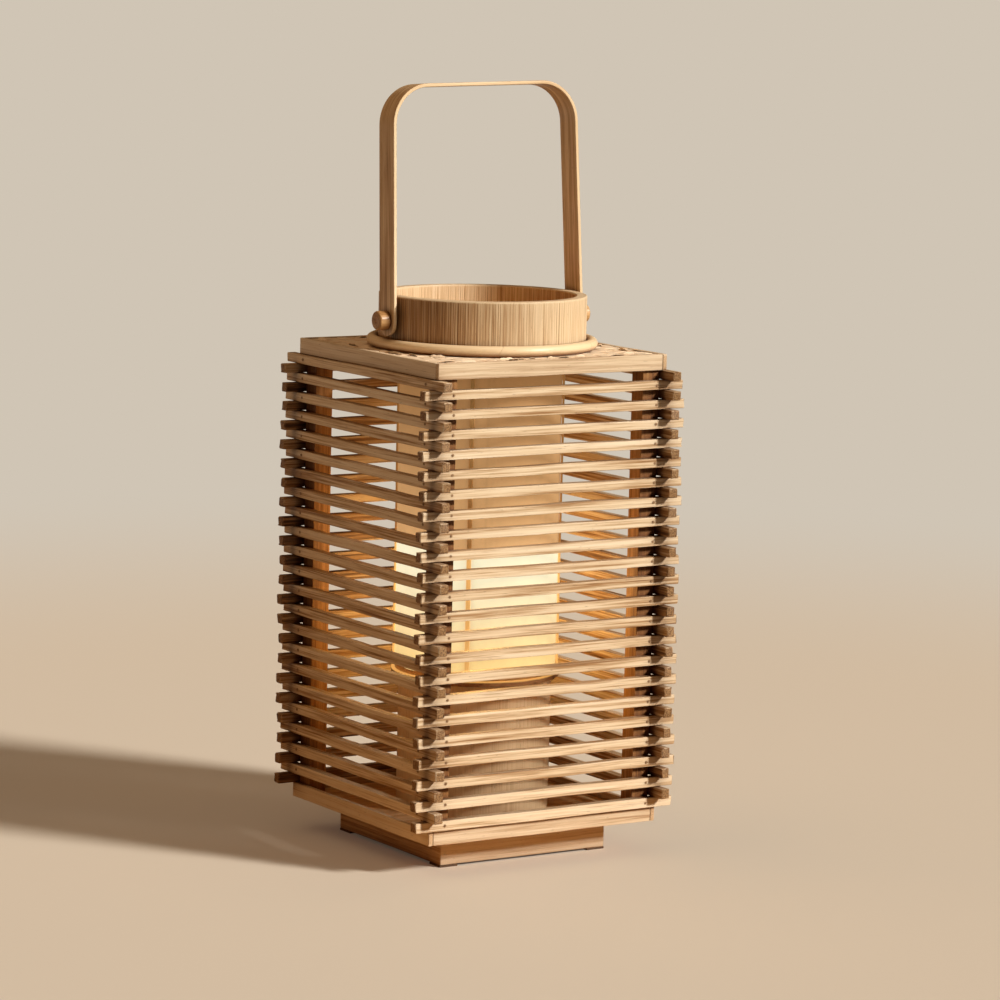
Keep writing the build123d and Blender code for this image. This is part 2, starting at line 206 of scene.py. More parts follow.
class Surface:
    """Grids of points gathered into one mesh."""

    def __init__(self):
        self.points, self.grain, self.tone = [], [], []
        self.faces, self.ends = [], []
        self.count = 0

    def grid(self, points, grain, tone, loop=False, closed=True, end_rings=0):
        """Stations x section points. Closed sections get an end face at each open end."""
        stations, around = points.shape[:2]
        index = np.arange(stations * around).reshape(stations, around) + self.count
        rows = np.concatenate([index, index[:1]]) if loop else index
        columns = np.concatenate([rows, rows[:, :1]], axis=1) if closed else rows
        quads = np.stack([columns[:-1, :-1], columns[:-1, 1:], columns[1:, 1:], columns[1:, :-1]], -1)
        ring = np.arange(len(quads))
        edge = np.minimum(ring, len(quads) - 1 - ring) < end_rings
        self.faces += quads.reshape(-1, 4).tolist()
        self.ends += np.repeat(np.where(edge, END_RIM, 0.0), quads.shape[1]).tolist()
        if closed and not loop:
            self.faces += [index[0][::-1].tolist(), index[-1].tolist()]
            self.ends += [CUT_END, CUT_END]
        self.points.append(points.reshape(-1, 3))
        self.grain.append(grain.reshape(-1, 3))
        self.tone.append(np.broadcast_to(tone, (stations, around)).reshape(-1))
        self.count += stations * around

    def build(self, name, material, body, slot, *nodes, sharp=40):
        """Makes the piece, which rides on its body in place of the CAD nodes."""
        mesh = bpy.data.meshes.new(name)
        mesh.from_pydata(np.concatenate(self.points).tolist(), [], self.faces)
        mesh.attributes.new("grain", "FLOAT_VECTOR", "POINT").data.foreach_set(
            "vector", np.concatenate(self.grain).astype(np.float32).ravel())
        mesh.attributes.new("tone", "FLOAT", "POINT").data.foreach_set(
            "value", np.concatenate(self.tone).astype(np.float32))
        mesh.attributes.new("end", "FLOAT", "FACE").data.foreach_set(
            "value", np.array(self.ends, np.float32))
        shape = bmesh.new()
        shape.from_mesh(mesh)
        bmesh.ops.remove_doubles(shape, verts=shape.verts, dist=1e-6)
        bmesh.ops.recalc_face_normals(shape, faces=shape.faces)
        shape.to_mesh(mesh)
        shape.free()
        mesh.shade_smooth()
        mesh.set_sharp_from_angle(angle=radians(sharp))
        mesh.materials.append(MATERIALS[material])
        piece = new_object(name, mesh)
        normals = piece.modifiers.new("flat_faces", "WEIGHTED_NORMAL")
        normals.keep_sharp = True
        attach(piece, body)
        if nodes:
            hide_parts(*nodes)


def drift(length, size, waves=3):
    """A smooth random wander along a length, within plus or minus size."""
    total = np.zeros_like(length)
    for wave in range(1, waves + 1):
        pitch = 2 * pi * wave * rng.uniform(*WAVE_SPREAD) / WAVE_LENGTH
        total += np.sin(pitch * length + rng.uniform(0, 2 * pi)) / wave
    return size * total / sum(1 / wave for wave in range(1, waves + 1))


def rounded_section(width, height, radius, corner_points=3):
    """Points round a rectangle with rounded corners, centred on the origin."""
    points = []
    for corner in range(4):
        start = corner * pi / 2
        across = (width / 2 - radius) * (1 if corner in (0, 3) else -1)
        up = (height / 2 - radius) * (1 if corner in (0, 1) else -1)
        for step in range(corner_points):
            angle = start + pi / 2 * step / (corner_points - 1)
            points.append((across + radius * cos(angle), up + radius * sin(angle)))
    return np.array(points)


def stick_tone():
    return float(np.clip(rng.normal(0.5, 0.2), 0.0, 1.0))


def grain_start():
    """Where a piece begins in its material, so that no two pieces look alike."""
    return rng.uniform(0, GRAIN_SPAN, 3)


def round_z(radius, angle, height):
    """The points of stations that stand at angles round Z."""
    height = np.broadcast_to(height, radius.shape)
    return np.stack([radius * np.cos(angle)[:, None], radius * np.sin(angle)[:, None], height], -1)


def add_stick(surface, low, high, axis, edge, wander=0.15 * MM, cut=0.0, chip=0.0, mitre=False,
              tone=None, end_shade=0.0, inner_shade=0.0, turn=None, swell=None):
    """A split stick that fills a box: rounded edges, a slight wander and hand-cut ends."""
    low, high = np.array(low, float), np.array(high, float)
    sides = [other for other in range(3) if other != axis]
    centre = (low + high) / 2
    size = high - low
    length = size[axis]
    section = rounded_section(*(size[sides] - 2 * wander), edge)
    count = max(4, int(length / STATION_GAP))
    share = np.concatenate([[0.0, edge / length], np.linspace(0.0, 1.0, count)[1:-1],
                            [1 - edge / length, 1.0]])
    shrink = np.ones(len(share))
    shrink[[0, -1]] = 1 - END_TAPER * edge / min(size[sides])
    along = share * length
    across = section * shrink[:, None, None]
    uneven = np.stack([drift(along, UNEVENNESS), drift(along, UNEVENNESS)], -1)
    across = across * (1 + uneven[:, None, :])
    if swell is not None:
        across = across * (1 + swell(low[axis] + along))[:, None, None]
    bow = wander * (1 + BOW * np.sin(pi * share))
    across = across + np.stack([bow * drift(along, 1.0), bow * drift(along, 1.0)], -1)[:, None, :]
    start, stop = np.zeros(len(section)), np.full(len(section), length)
    if mitre:
        reach = np.abs(section[:, 0] + centre[sides[0]])
        start, stop = length / 2 - reach, length / 2 + reach
    for ends, direction, ring in ((start, 1, 0), (stop, -1, -1)):
        tilt = section @ rng.uniform(-cut, cut, 2)
        ends += direction * (tilt - tilt.min() + chip * rng.uniform(0, 1, len(section)) ** 2)
        across[ring] *= 1 - END_CHIP * (chip > 0) * rng.uniform(0, 1, (len(section), 1)) ** 2
    placed = start + share[:, None] * (stop - start)
    points = np.empty((len(share), len(section), 3))
    points[..., axis] = low[axis] + placed
    points[..., sides] = centre[sides] + across
    grain = np.concatenate([placed[..., None], across], -1) + grain_start()
    if turn is not None:
        points = points @ np.array(turn)[:3, :3].T
    # Painted shade near the ends, where the slats cross
    shaded_ends = end_shade * np.exp(-(np.minimum(along, length - along) / END_SHADE_REACH) ** 2)
    tone = stick_tone() if tone is None else tone
    # Painted shade on the side that faces into the lamp
    if inner_shade:
        inward = -np.sign(centre[sides[0]]) * section[:, 0]
        tone = tone + inner_shade * np.clip(inward / inward.max(), 0, 1) ** 4
    surface.grid(points, grain, tone + shaded_ends[:, None], end_rings=1)


def lathe(surface, profile, steps, tone, closed=True, uneven=None):
    """Turns a profile of (radius, height) round Z. The grain runs up the profile."""
    angle = np.linspace(0, 2 * pi, steps, endpoint=False)
    radius, height = np.array(profile, float).T
    radius = np.broadcast_to(radius, (steps, len(radius))).copy()
    height = np.broadcast_to(height, radius.shape)
    if uneven is not None:
        radius += uneven(angle[:, None], height)
    grain = np.stack([height, angle[:, None] * radius, radius], -1) + grain_start()
    surface.grid(round_z(radius, angle, height), grain, tone, loop=True, closed=closed)


def mesh_points(node):
    return np.array([vertex.co for vertex in NODES[node].data.vertices])


def slat_boxes(node):
    """The box of each slat in a node, from the lowest up."""
    points = mesh_points(node)
    levels = sorted(set(np.round(points[:, 2], 6)))
    for bottom, top in zip(levels[::2], levels[1::2]):
        inside = points[np.isclose(points[:, 2], top, atol=1e-6)]
        low, high = inside.min(axis=0), inside.max(axis=0)
        low[2] = bottom
        yield low, high


# --- Materials

class Shader:
    """A material's or world's node tree, with short calls for the nodes that the lamp needs."""

    def __init__(self, owner):
        owner.use_nodes = True
        self.owner = owner
        self.tree = owner.node_tree
        self.bsdf = self.tree.nodes.get("Principled BSDF")

    def add(self, kind, inputs=None, **settings):
        made = self.tree.nodes.new("ShaderNode" + kind)
        for key, value in settings.items():
            setattr(made, key, value)
        for key, value in (inputs or {}).items():
            self.feed(made.inputs[key], value)
        return made

    def feed(self, socket, value):
        """Gives a socket a link, an 8-bit colour or a plain value."""
        if isinstance(value, bpy.types.NodeSocket):
            self.tree.links.new(value, socket)
        else:
            socket.default_value = linear(value) if socket.type == "RGBA" else value

    def surface(self, **inputs):
        for key, value in inputs.items():
            self.feed(self.bsdf.inputs[key.replace("_", " ")], value)

    def attribute(self, name, output="Fac"):
        return self.add("Attribute", attribute_name=name).outputs[output]

    def place(self):
        return self.add("TexCoord").outputs["Object"]

    def height(self):
        """How high a place lies in the object's own axes."""
        return self.add("SeparateXYZ", {"Vector": self.place()}).outputs["Z"]

    def coordinates(self, source):
        """The grain of a built piece, or a CAD node's own axes turned so that X is along."""
        if source == "grain":
            return self.attribute("grain", "Vector")
        turns = {"X": (0, 0, 0), "Z": (0, pi / 2, 0)}
        values = {"Vector": self.place(), "Rotation": turns[source]}
        return self.add("Mapping", values).outputs["Vector"]

    def noise(self, place, scale, detail=3.0, roughness=0.55):
        placed = self.add("Mapping", {"Vector": place, "Scale": scale}).outputs["Vector"]
        values = {"Vector": placed, "Scale": 1.0, "Detail": detail, "Roughness": roughness}
        return self.add("TexNoise", values).outputs["Fac"]

    def cells(self, place, scale):
        placed = self.add("Mapping", {"Vector": place, "Scale": scale}).outputs["Vector"]
        return self.add("TexVoronoi", {"Vector": placed, "Scale": 1.0}).outputs["Distance"]

    def math(self, operation, *values):
        made = self.add("Math", operation=operation)
        for socket, value in zip(made.inputs, values):
            self.feed(socket, value)
        return made.outputs["Value"]

    def weigh(self, total, *patterns):
        """A total, and each pattern times its weight added to it."""
        for pattern, weight in patterns:
            total = self.math("MULTIPLY_ADD", pattern, weight, total)
        return total

    def spread(self, value, low, high, to_low=0.0, to_high=1.0, **settings):
        """A value rescaled from one range to another, and held inside it."""
        values = {"Value": value, "From Min": low, "From Max": high,
                  "To Min": to_low, "To Max": to_high}
        return self.add("MapRange", values, **settings).outputs["Result"]

    def ramp(self, value, stops):
        made = self.add("ValToRGB", {"Fac": value})
        elements = made.color_ramp.elements
        while len(elements) < len(stops):
            elements.new(0.5)
        for element, (place, colour) in zip(elements, stops):
            element.position = place
            element.color = linear(colour)
        return made.outputs["Color"]

    def mix(self, share, one, other, blend="MIX"):
        made = self.add("Mix", data_type="RGBA", blend_type=blend)
        for socket, value in zip((made.inputs[0], made.inputs[6], made.inputs[7]),
                                 (share, one, other)):
            self.feed(socket, value)
        return made.outputs[2]

    def join(self, output, share, one, other):
        """Mixes two shaders into the tree's output."""
        mixed = self.add("MixShader", {0: share, 1: one, 2: other}).outputs["Shader"]
        self.feed(self.tree.nodes[output].inputs["Surface"], mixed)

    def bump(self, height, strength, distance):
        values = {"Height": height, "Strength": strength, "Distance": distance}
        self.surface(Normal=self.add("Bump", values).outputs["Normal"])


ROUGH_ENDS = (172, 134, 90), (120, 84, 48), (58, 35, 17)
SAWN_ENDS = (226, 192, 150), (206, 168, 124), (150, 112, 76)
# Colour multiplied in where ambient occlusion finds a crevice: painted shade
CREVICE_SHADE = (116, 76, 34)
# How far each pattern moves a colour along bamboo's ramp, either way from its middle
BROAD_WEIGHT = 1.15
FINE_WEIGHT = 0.80
PATCH_WEIGHT = 0.40
TONE_WEIGHT = 0.40
RAMP_MIDDLE = 0.40
MARK_WEIGHT = 0.55
JOINT_SPACING = 320 * MM  # of a cane's joints
JOINT_REACH = 1.6 * MM


def bamboo(name, pale, mid, brown, dark, source="grain", streak=1.0, gloss=0.5, node_lines=0.0,
           ends=SAWN_ENDS, crevice=0.0):
    """Split bamboo: long streaks, fibres, flecks, dotted end grain, and painted shade in the crevices."""
    shader = Shader(bpy.data.materials.new(name))
    place = shader.coordinates(source)
    # Scales are in features to a metre: along, across and through the grain
    broad = shader.noise(place, (5, 260, 260), 3.0, 0.62)
    fine = shader.noise(place, (16, 760, 760), 3.0, 0.62)
    patch = shader.noise(place, (9, 50, 50), 2.0, 0.5)
    line = shader.spread(shader.noise(place, (9, 400, 400), 3.0, 0.6), 0.57, 0.70)
    fleck = shader.spread(shader.noise(place, (110, 1000, 1000), 2.0, 0.7), 0.66, 0.76)
    tone = shader.attribute("tone") if source == "grain" else 0.5
    weights = BROAD_WEIGHT * streak, FINE_WEIGHT, PATCH_WEIGHT, TONE_WEIGHT
    value = shader.weigh(RAMP_MIDDLE - sum(weights) / 2, *zip((broad, fine, patch, tone), weights))
    colour = shader.ramp(value, ((0.10, pale), (0.42, mid), (0.74, brown), (1.0, dark)))
    colour = shader.mix(shader.math("MULTIPLY", line, MARK_WEIGHT * streak), colour, brown)
    colour = shader.mix(shader.math("MULTIPLY", fleck, MARK_WEIGHT), colour, dark)
    if node_lines:
        along = shader.add("SeparateXYZ", {"Vector": place}).outputs["X"]
        from_joint = shader.math("PINGPONG", along, JOINT_SPACING / 2)
        ring = shader.spread(from_joint, 0.0, JOINT_REACH, node_lines, 0.0)
        colour = shader.mix(ring, colour, dark)
    if source == "grain":
        end = shader.attribute("end")
        dots = shader.spread(shader.cells(place, (1, 700, 700)), 0.20, 0.45, 1.0, 0.0)
        speck = shader.spread(shader.noise(place, (1, 900, 900), 2.0, 0.6), 0.42, 0.58)
        face = shader.mix(speck, ends[0], ends[1])
        face = shader.mix(shader.math("MULTIPLY", dots, 0.6), face, ends[2])
        colour = shader.mix(shader.spread(end, 0.6, 0.9), colour, face)
        rim = shader.math("COMPARE", end, END_RIM, 0.1)
        colour = shader.mix(shader.math("MULTIPLY", rim, 0.4), colour, ends[1])
    # Painted shade: darker and warmer where ambient occlusion finds nearby surfaces
    if crevice:
        occlusion = shader.add("AmbientOcclusion", {"Distance": crevice}, samples=6).outputs["AO"]
        crevice_shaded = shader.mix(1.0, colour, CREVICE_SHADE, "MULTIPLY")
        colour = shader.mix(shader.spread(occlusion, 0.20, 0.95), crevice_shaded, colour)
    shader.surface(Base_Color=colour,
                   Roughness=shader.spread(fine, 0.3, 0.7, gloss - 0.07, gloss + 0.1),
                   Specular_IOR_Level=0.35)
    shader.bump(shader.math("MULTIPLY_ADD", broad, 0.6, fine), 0.4, 0.25 * MM)
    return shader.owner


def washi(name, top, bottom, glow_top, glow_bottom, strength, fade):
    """Handmade paper with a glow by height, clouds and long fibres: on the lit paper the glow is the light
    through it, on the tan paper painted light for the daylight and glow that fall on it.
    """
    shader = Shader(bpy.data.materials.new(name))
    place = shader.attribute("grain", "Vector")
    share = shader.spread(shader.height(), *fade)
    cloud = shader.noise(place, (45, 45, 45), 4.0, 0.6)
    fibre = shader.noise(place, (900, 160, 160), 3.0, 0.7)
    fleck = shader.spread(shader.noise(place, (420, 420, 420), 1.0, 0.5), 0.7, 0.78)
    body = shader.mix(share, bottom, top)
    glow = shader.mix(share, glow_bottom, glow_top)
    # Brightness is 1 where no fleck lies and the rest is at its middle
    shade = shader.weigh(0.95, (cloud, 0.22), (fibre, 0.10), (fleck, -0.10),
                         (shader.attribute("tone"), -0.22))
    grey = shader.add("CombineColor", {"Red": shade, "Green": shade, "Blue": shade}).outputs["Color"]
    shader.surface(Base_Color=shader.mix(1.0, body, grey, "MULTIPLY"),
                   Emission_Color=shader.mix(1.0, glow, grey, "MULTIPLY"),
                   Emission_Strength=strength, Roughness=0.85, Specular_IOR_Level=0.15)
    shader.bump(shader.math("ADD", cloud, fibre), 0.3, 0.3 * MM)
    return shader.owner


def plain(name, light, dark, grain_size, gloss, metallic=0.0, streaks=(1, 1, 1)):
    """Metal, rubber, plastic or card: cloudy colour and uneven gloss."""
    shader = Shader(bpy.data.materials.new(name))
    place = shader.place()
    scale = tuple(stretch / grain_size for stretch in streaks)
    cloud = shader.noise(place, scale, 4.0, 0.6)
    speck = shader.noise(place, tuple(8 * value for value in scale), 2.0, 0.5)
    shader.surface(Base_Color=shader.ramp(cloud, ((0.3, dark), (0.7, light))),
                   Roughness=shader.spread(speck, 0.3, 0.7, gloss - 0.1, gloss + 0.1),
                   Metallic=metallic)
    shader.bump(speck, 0.12, 0.1 * MM)
    return shader.owner


def painted_glow(material, fade, below, above, glow, strength):
    """Adds a painted glow to a part, which changes between two heights."""
    shader = Shader(material)
    share = shader.spread(shader.height(), *fade, below, above)
    shader.surface(Emission_Color=shader.mix(share, (0, 0, 0), glow),
                   Emission_Strength=strength)
    return material


def glowing_globe(name):
    shader = Shader(bpy.data.materials.new(name))
    cloud = shader.noise(shader.place(), (60, 60, 60))
    shader.surface(Base_Color=shader.ramp(cloud, ((0.3, (250, 240, 220)), (0.7, (255, 248, 232)))),
                   Emission_Color=(255, 226, 170), Emission_Strength=1.6, Roughness=0.3)
    return shader.owner


PALE, MID = (244, 223, 190), (229, 201, 162)
BROWN, DARK = (170, 127, 80), (84, 52, 26)
MATERIALS = {
    "slat": bamboo(
        "slat_bamboo", PALE, MID, BROWN, DARK, streak=1.45, ends=ROUGH_ENDS, crevice=34 * MM),
    "frame": bamboo(
        "frame_bamboo", (238, 216, 184), (224, 196, 159), (178, 140, 102), DARK, crevice=16 * MM),
    "post": bamboo(
        "post_bamboo", (216, 162, 96), (190, 134, 70), (140, 92, 42), (66, 40, 18), streak=1.2,
        crevice=40 * MM),
    "board": bamboo("board_bamboo", (222, 190, 146), (206, 168, 120), (168, 124, 80), DARK, "X"),
    # The board under the mat, coloured dark so that the mat's gaps show shade: painted shade
    "aged": bamboo("aged_board", (104, 72, 44), (84, 56, 33), (62, 40, 23), (38, 24, 14), "X"),
    "sliver": bamboo(
        "collar_bamboo", (236, 211, 177), (224, 195, 154), (172, 128, 82), (106, 70, 40), streak=0.5,
        crevice=3 * MM),
    "weave": bamboo(
        "woven_bamboo", (255, 235, 206), (250, 222, 188), (220, 180, 138), DARK, streak=0.7),
    "slit": bamboo("split_shadow", (112, 72, 40), (84, 50, 26), (56, 32, 16), (34, 18, 9)),
    "rattan": bamboo(
        "rattan", (248, 223, 184), (242, 213, 170), (212, 176, 130), (150, 108, 66), streak=0.4,
        gloss=0.36, node_lines=0.2, crevice=10 * MM),
    "handle": bamboo(
        "handle_bamboo", (245, 218, 178), (232, 199, 153), (184, 140, 94), (94, 60, 32), streak=0.8,
        gloss=0.42, crevice=8 * MM),
    "knob": bamboo(
        "pin_wood", (214, 172, 120), (184, 138, 86), (136, 90, 50), (76, 46, 24), gloss=0.38,
        crevice=6 * MM),
    # The ribs glow with painted light where the lit paper lies behind them
    "rib": painted_glow(
        bamboo("rib_bamboo", (216, 172, 112), (194, 146, 88), (150, 104, 58), (92, 58, 30)),
        RIB_FADE, 1.0, 0.2, (240, 190, 112), 0.66),
    "washi_lit": washi(
        "washi_lit", (160, 142, 104), (160, 132, 90), (255, 252, 216), (255, 222, 148), 0.84, LIT_FADE),
    # The tan paper's glow is painted light
    "washi_tan": washi(
        "washi_tan", (150, 118, 82), (160, 130, 92), (146, 104, 61), (214, 170, 116), 0.80, TAN_FADE),
    "veneer": bamboo(
        "drum_veneer", (240, 213, 172), (230, 201, 158), (204, 168, 122), (130, 92, 56), "Z", streak=0.15),
    # The deck's wood darkened as painted shade, with a painted glow along its top edge
    "deck": painted_glow(
        bamboo("deck_wood", (164, 120, 76), (142, 100, 60), (110, 74, 42), (100, 66, 36), "X"),
        DECK_FADE, 0.0, 1.0, (250, 190, 104), 0.6),
    "hoop": bamboo("hoop_bamboo", (214, 176, 124), (196, 154, 102), (158, 114, 70), DARK, "X"),
    "card": plain("baffle_card", (206, 176, 132), (182, 150, 108), 0.02, 0.8),
    "rubber": plain("pad_rubber", (98, 72, 48), (68, 48, 32), 0.004, 0.8),
    "steel": plain("brad_steel", (168, 132, 94), (124, 92, 62), 0.002, 0.5, 0.3),
    "fibre": plain("washer_fibre", (120, 84, 52), (84, 56, 34), 0.003, 0.7),
    "brass": plain("stem_brass", (212, 170, 96), (168, 128, 66), 0.006, 0.35, 1.0, (1, 1, 0.1)),
    "bakelite": plain("holder_plastic", (52, 44, 38), (34, 28, 24), 0.01, 0.4),
    "white_plastic": plain("bulb_plastic", (236, 232, 224), (220, 214, 204), 0.01, 0.45),
    "black_plastic": plain("gland_plastic", (44, 42, 40), (28, 27, 26), 0.004, 0.5),
    "globe": glowing_globe("bulb_glass"),
}


# --- Wooden body

def slats():
    for side, axis in SIDES.items():
        surface = Surface()
        for low, high in slat_boxes(f"slats_{side}"):
            darkening = BULB_LEVEL_DARKENING * exp(-((low[2] - BULB_HEIGHT) / BULB_LEVEL_REACH) ** 2)
            add_stick(surface, low, high, axis, SLAT_EDGE, cut=SLAT_CUT, chip=SLAT_CHIP,
                      tone=stick_tone() + darkening, end_shade=END_SHADES[side],
                      inner_shade=INNER_SHADE)
        surface.build(f"split_slats_{side}", "slat", "body", "slat_bamboo", f"slats_{side}")


def rails():
    for part, mitre in (("tray_rail", False), ("top_rail", False), ("plinth", True)):
        for side, axis in SIDES.items():
            node = f"{part}_{side}"
            surface = Surface()
            add_stick(surface, *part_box(node), axis, RAIL_EDGE, wander=RAIL_WANDER, mitre=mitre,
                      tone=BOARD_LIGHT_AND_SHADE.get(node))
            surface.build(f"{node}_board", "frame", "body", "frame_bamboo", node)


def posts():
    for corner in CORNERS:
        node = f"post_{corner}"
        surface = Surface()
        add_stick(surface, *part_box(node), 2, POST_EDGE, wander=POST_WANDER)
        surface.build(f"squared_{node}", "post", "body", "post_bamboo", node)


# --- Woven top

SPLIT_PITCH = 11.1 * MM
SPLIT_WIDTH = 11.0 * MM
SPLIT_THICKNESS = 0.5 * MM
SPLIT_STEP = SPLIT_PITCH / 5
SPLIT_WANDER = 0.3 * MM
SPLIT_SHRINKAGE = 0.34  # how much narrower the most worn splits are
SPLIT_SECTION = rounded_section(SPLIT_WIDTH, SPLIT_THICKNESS, 0.2 * MM)
WEAVE_LIFT = 0.42 * MM
WEAVE_STEEPNESS = 2.2
WEAVE_PALENESS = 0.3
DIVE_SHADE = 0.25  # how much darker a split is where it dives under another: painted shade
HOLE_RADIUS = 97 * MM
WORN_REACH = 30 * MM
RAGGED_ENDS = (0.2 * MM, 2.2 * MM)


def weave_lift(along, row):
    """Two over, two under: 1 where a split lies on top, -1 where it dives."""
    phase = (along / SPLIT_PITCH + row) * pi / 2
    return np.tanh(WEAVE_STEEPNESS * np.sin(phase + pi / 4)) / np.tanh(WEAVE_STEEPNESS)


def worn(along, centre, half):
    """How worn the mat is: most by the rails and by the collar."""
    to_rail = half - np.maximum(np.abs(along), abs(centre))
    to_collar = np.hypot(along, centre) - HOLE_RADIUS
    return np.clip(1.1 - np.minimum(to_rail, to_collar) / WORN_REACH, 0.25, 1.0)


def add_split(surface, axis, centre, start, stop, row, level, half):
    """One flat split woven through the mat, cut to the collar where it meets it."""
    count = max(3, int((stop - start).mean() / SPLIT_STEP))
    share = np.linspace(0, 1, count)
    along = start + share[:, None] * (stop - start)
    middle = along.mean(axis=1)
    wear = worn(middle, centre, half) * rng.uniform(0.0, 1.0)
    gap = np.clip(0.2 + drift(middle * 4, 1.0, 5), 0, 1) * wear
    width = 1 - SPLIT_SHRINKAGE * gap
    sign = 1 if axis == 0 else -1
    over = sign * weave_lift(along, row)
    across, up = SPLIT_SECTION.T
    wander = drift(middle, SPLIT_WANDER)
    points = np.empty((*along.shape, 3))
    points[..., axis] = along
    points[..., 1 - axis] = centre + across * width[:, None] + wander[:, None]
    points[..., 2] = level + WEAVE_LIFT * over + up
    grain = np.stack(np.broadcast_arrays(along, across, up), -1) + grain_start()
    tone = stick_tone() - WEAVE_PALENESS + DIVE_SHADE * np.clip(-over, 0, 1) ** 2
    surface.grid(points, grain, tone)


def woven_mat():
    low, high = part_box("top_mat")
    half = high.x
    level = (low.z + high.z) / 2
    surface = Surface()
    rows = int(2 * half / SPLIT_PITCH)
    first = -(rows - 1) / 2 * SPLIT_PITCH
    for axis in (0, 1):
        for row in range(rows):
            centre = first + row * SPLIT_PITCH
            side = centre + SPLIT_SECTION[:, 0]
            ragged = half - rng.uniform(*RAGGED_ENDS, 2)
            start, stop = np.full(len(side), -ragged[0]), np.full(len(side), ragged[1])
            runs = [(start, stop)]
            if abs(centre) < HOLE_RADIUS:
                bore = np.sqrt(np.maximum(HOLE_RADIUS ** 2 - side ** 2, 0))
                runs = [(start, -bore), (bore, stop)]
            for begin, end in runs:
                add_split(surface, axis, centre, begin, end, row, level, half)
    surface.build("woven_mat", "weave", "body", "woven_bamboo", "top_mat")


TEARS_PER_RAIL = 9
TEARS_ROUND_RING = 10
TEAR_SPREAD = 0.94  # of the mat's half width
TEAR_SWERVE = 0.07
TEAR_LENGTH = (7 * MM, 22 * MM)
TEAR_WIDTH = (1.8 * MM, 4.5 * MM)
TEAR_LIFT = (1.1 * MM, 2.3 * MM)
TEAR_RING_RADIUS = (117 * MM, 125 * MM)
TEAR_RAIL_GAP = (2.5 * MM, 17 * MM)
TEAR_TIPS = (0.1, 0.4)  # shares of a tear's length over which it comes to a point
SHRED_STEP = 1.1 * MM
SHRED_LEVELS = (0.03 * MM, 0.28 * MM)  # from the mat's upper face
# The slits are dark sheets laid under the shreds: painted shadow in the gaps
SLIT_LEVELS = (-0.42 * MM, 0.03 * MM)
SLIT_LENGTH = 0.9  # of its shred's length
SLIT_WIDTH = 0.8
SLIT_TONE = 0.7


def add_shred(surface, centre, heading, length, width, levels, lift, tone):
    """A ragged strip: flat, or hinged on one long side with the other side lifted."""
    count = max(6, int(length / SHRED_STEP))
    share = np.linspace(0, 1, count)
    tips = rng.uniform(*TEAR_TIPS, 2)
    taper = np.clip(np.minimum(share / tips[0], (1 - share) / tips[1]), 0, 1)
    edges = [width / 2 * (0.08 + 0.92 * taper * rng.uniform(0.75, 1.0, count)) for _ in range(2)]
    bend = drift(share * length * 4, 0.02 * length)
    normal = np.array((-heading[1], heading[0]))
    across = np.stack([-edges[0], edges[1], edges[1], -edges[0]], -1) + bend[:, None]
    lifted = lift * taper * rng.uniform(0.7, 1.0, count)
    hinge = np.zeros(count)
    bottom, top = levels
    up = np.stack([lifted + bottom, hinge + bottom, hinge + top, lifted + top], -1)
    run = np.broadcast_to(((share - 0.5) * length)[:, None], across.shape)
    place = centre + run[..., None] * heading + across[..., None] * normal
    grain = np.stack([run, across, up], -1) + grain_start()
    surface.grid(np.concatenate([place, up[..., None]], -1), grain, tone)


def tear_spots(half):
    """Where the mat has split and which way: along the rails and round the rattan ring."""
    spots = []
    for side in range(4):
        turn = side * pi / 2
        for _ in range(TEARS_PER_RAIL):
            along = rng.uniform(-TEAR_SPREAD, TEAR_SPREAD) * half
            spot = np.array((along, rng.uniform(*TEAR_RAIL_GAP) - half))
            if hypot(*spot) > TEAR_RING_RADIUS[0]:
                turned = np.array(((cos(turn), -sin(turn)), (sin(turn), cos(turn)))) @ spot
                spots.append((turned, turn + pi * rng.integers(2) + rng.normal(0, TEAR_SWERVE)))
    for _ in range(TEARS_ROUND_RING):
        angle = rng.uniform(0, 2 * pi)
        spot = rng.uniform(*TEAR_RING_RADIUS) * np.array((cos(angle), sin(angle)))
        spots.append((spot, angle + pi / 2 + pi * rng.integers(2)))
    return spots


def tears():
    """Slits in the mat, each a dark sheet of painted shadow in the gap, with a shred that has lifted
    beside it.
    """
    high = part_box("top_mat")[1]
    slits, shreds = Surface(), Surface()
    for spot, angle in tear_spots(high.x):
        heading = np.array((cos(angle), sin(angle)))
        length, width = rng.uniform(*TEAR_LENGTH), rng.uniform(*TEAR_WIDTH)
        add_shred(slits, spot, heading, length * SLIT_LENGTH, width * SLIT_WIDTH,
                  high.z + np.array(SLIT_LEVELS), 0.0, SLIT_TONE)
        add_shred(shreds, spot, heading, length, width, high.z + np.array(SHRED_LEVELS),
                  rng.uniform(*TEAR_LIFT), stick_tone() - WEAVE_PALENESS)
    slits.build("mat_slits", "slit", "body", "woven_bamboo")
    shreds.build("mat_shreds", "weave", "body", "woven_bamboo")


# --- Collar and rattan ring

SLIVER_WIDTH = (1.3 * MM, 4.2 * MM)
SLIVER_DEPTH = 0.17 * MM
SLIVER_PROUD = 0.18 * MM
SLIVER_COLUMNS = (0.0, 0.16, 0.5, 0.84)  # shares of a sliver's width
SLIVER_GROOVE = (1.0, 0.25, 0.0, 0.25)  # how deep the wall is there
SLIVER_TONES = (0.5, 0.05)
SLIVER_STAIN = 1.2  # how much darker the grooves between slivers can be
COLLAR_BORE = 93 * MM
COLLAR_RIM = 1.5 * MM
COLLAR_RIM_TONE = 0.25
COLLAR_RISE_STEPS = 7
COLLAR_FADE = 1.2 * MM  # height over which the slivers end below the rim
# Painted shade on the collar's walls
COLLAR_PAINTED_SHADE = 0.82
COLLAR_SHADED_SIDES = {1: radians(-165), -1: radians(-15)}  # angles round which the outside and the inside are darkest, where each wall is out of the key light


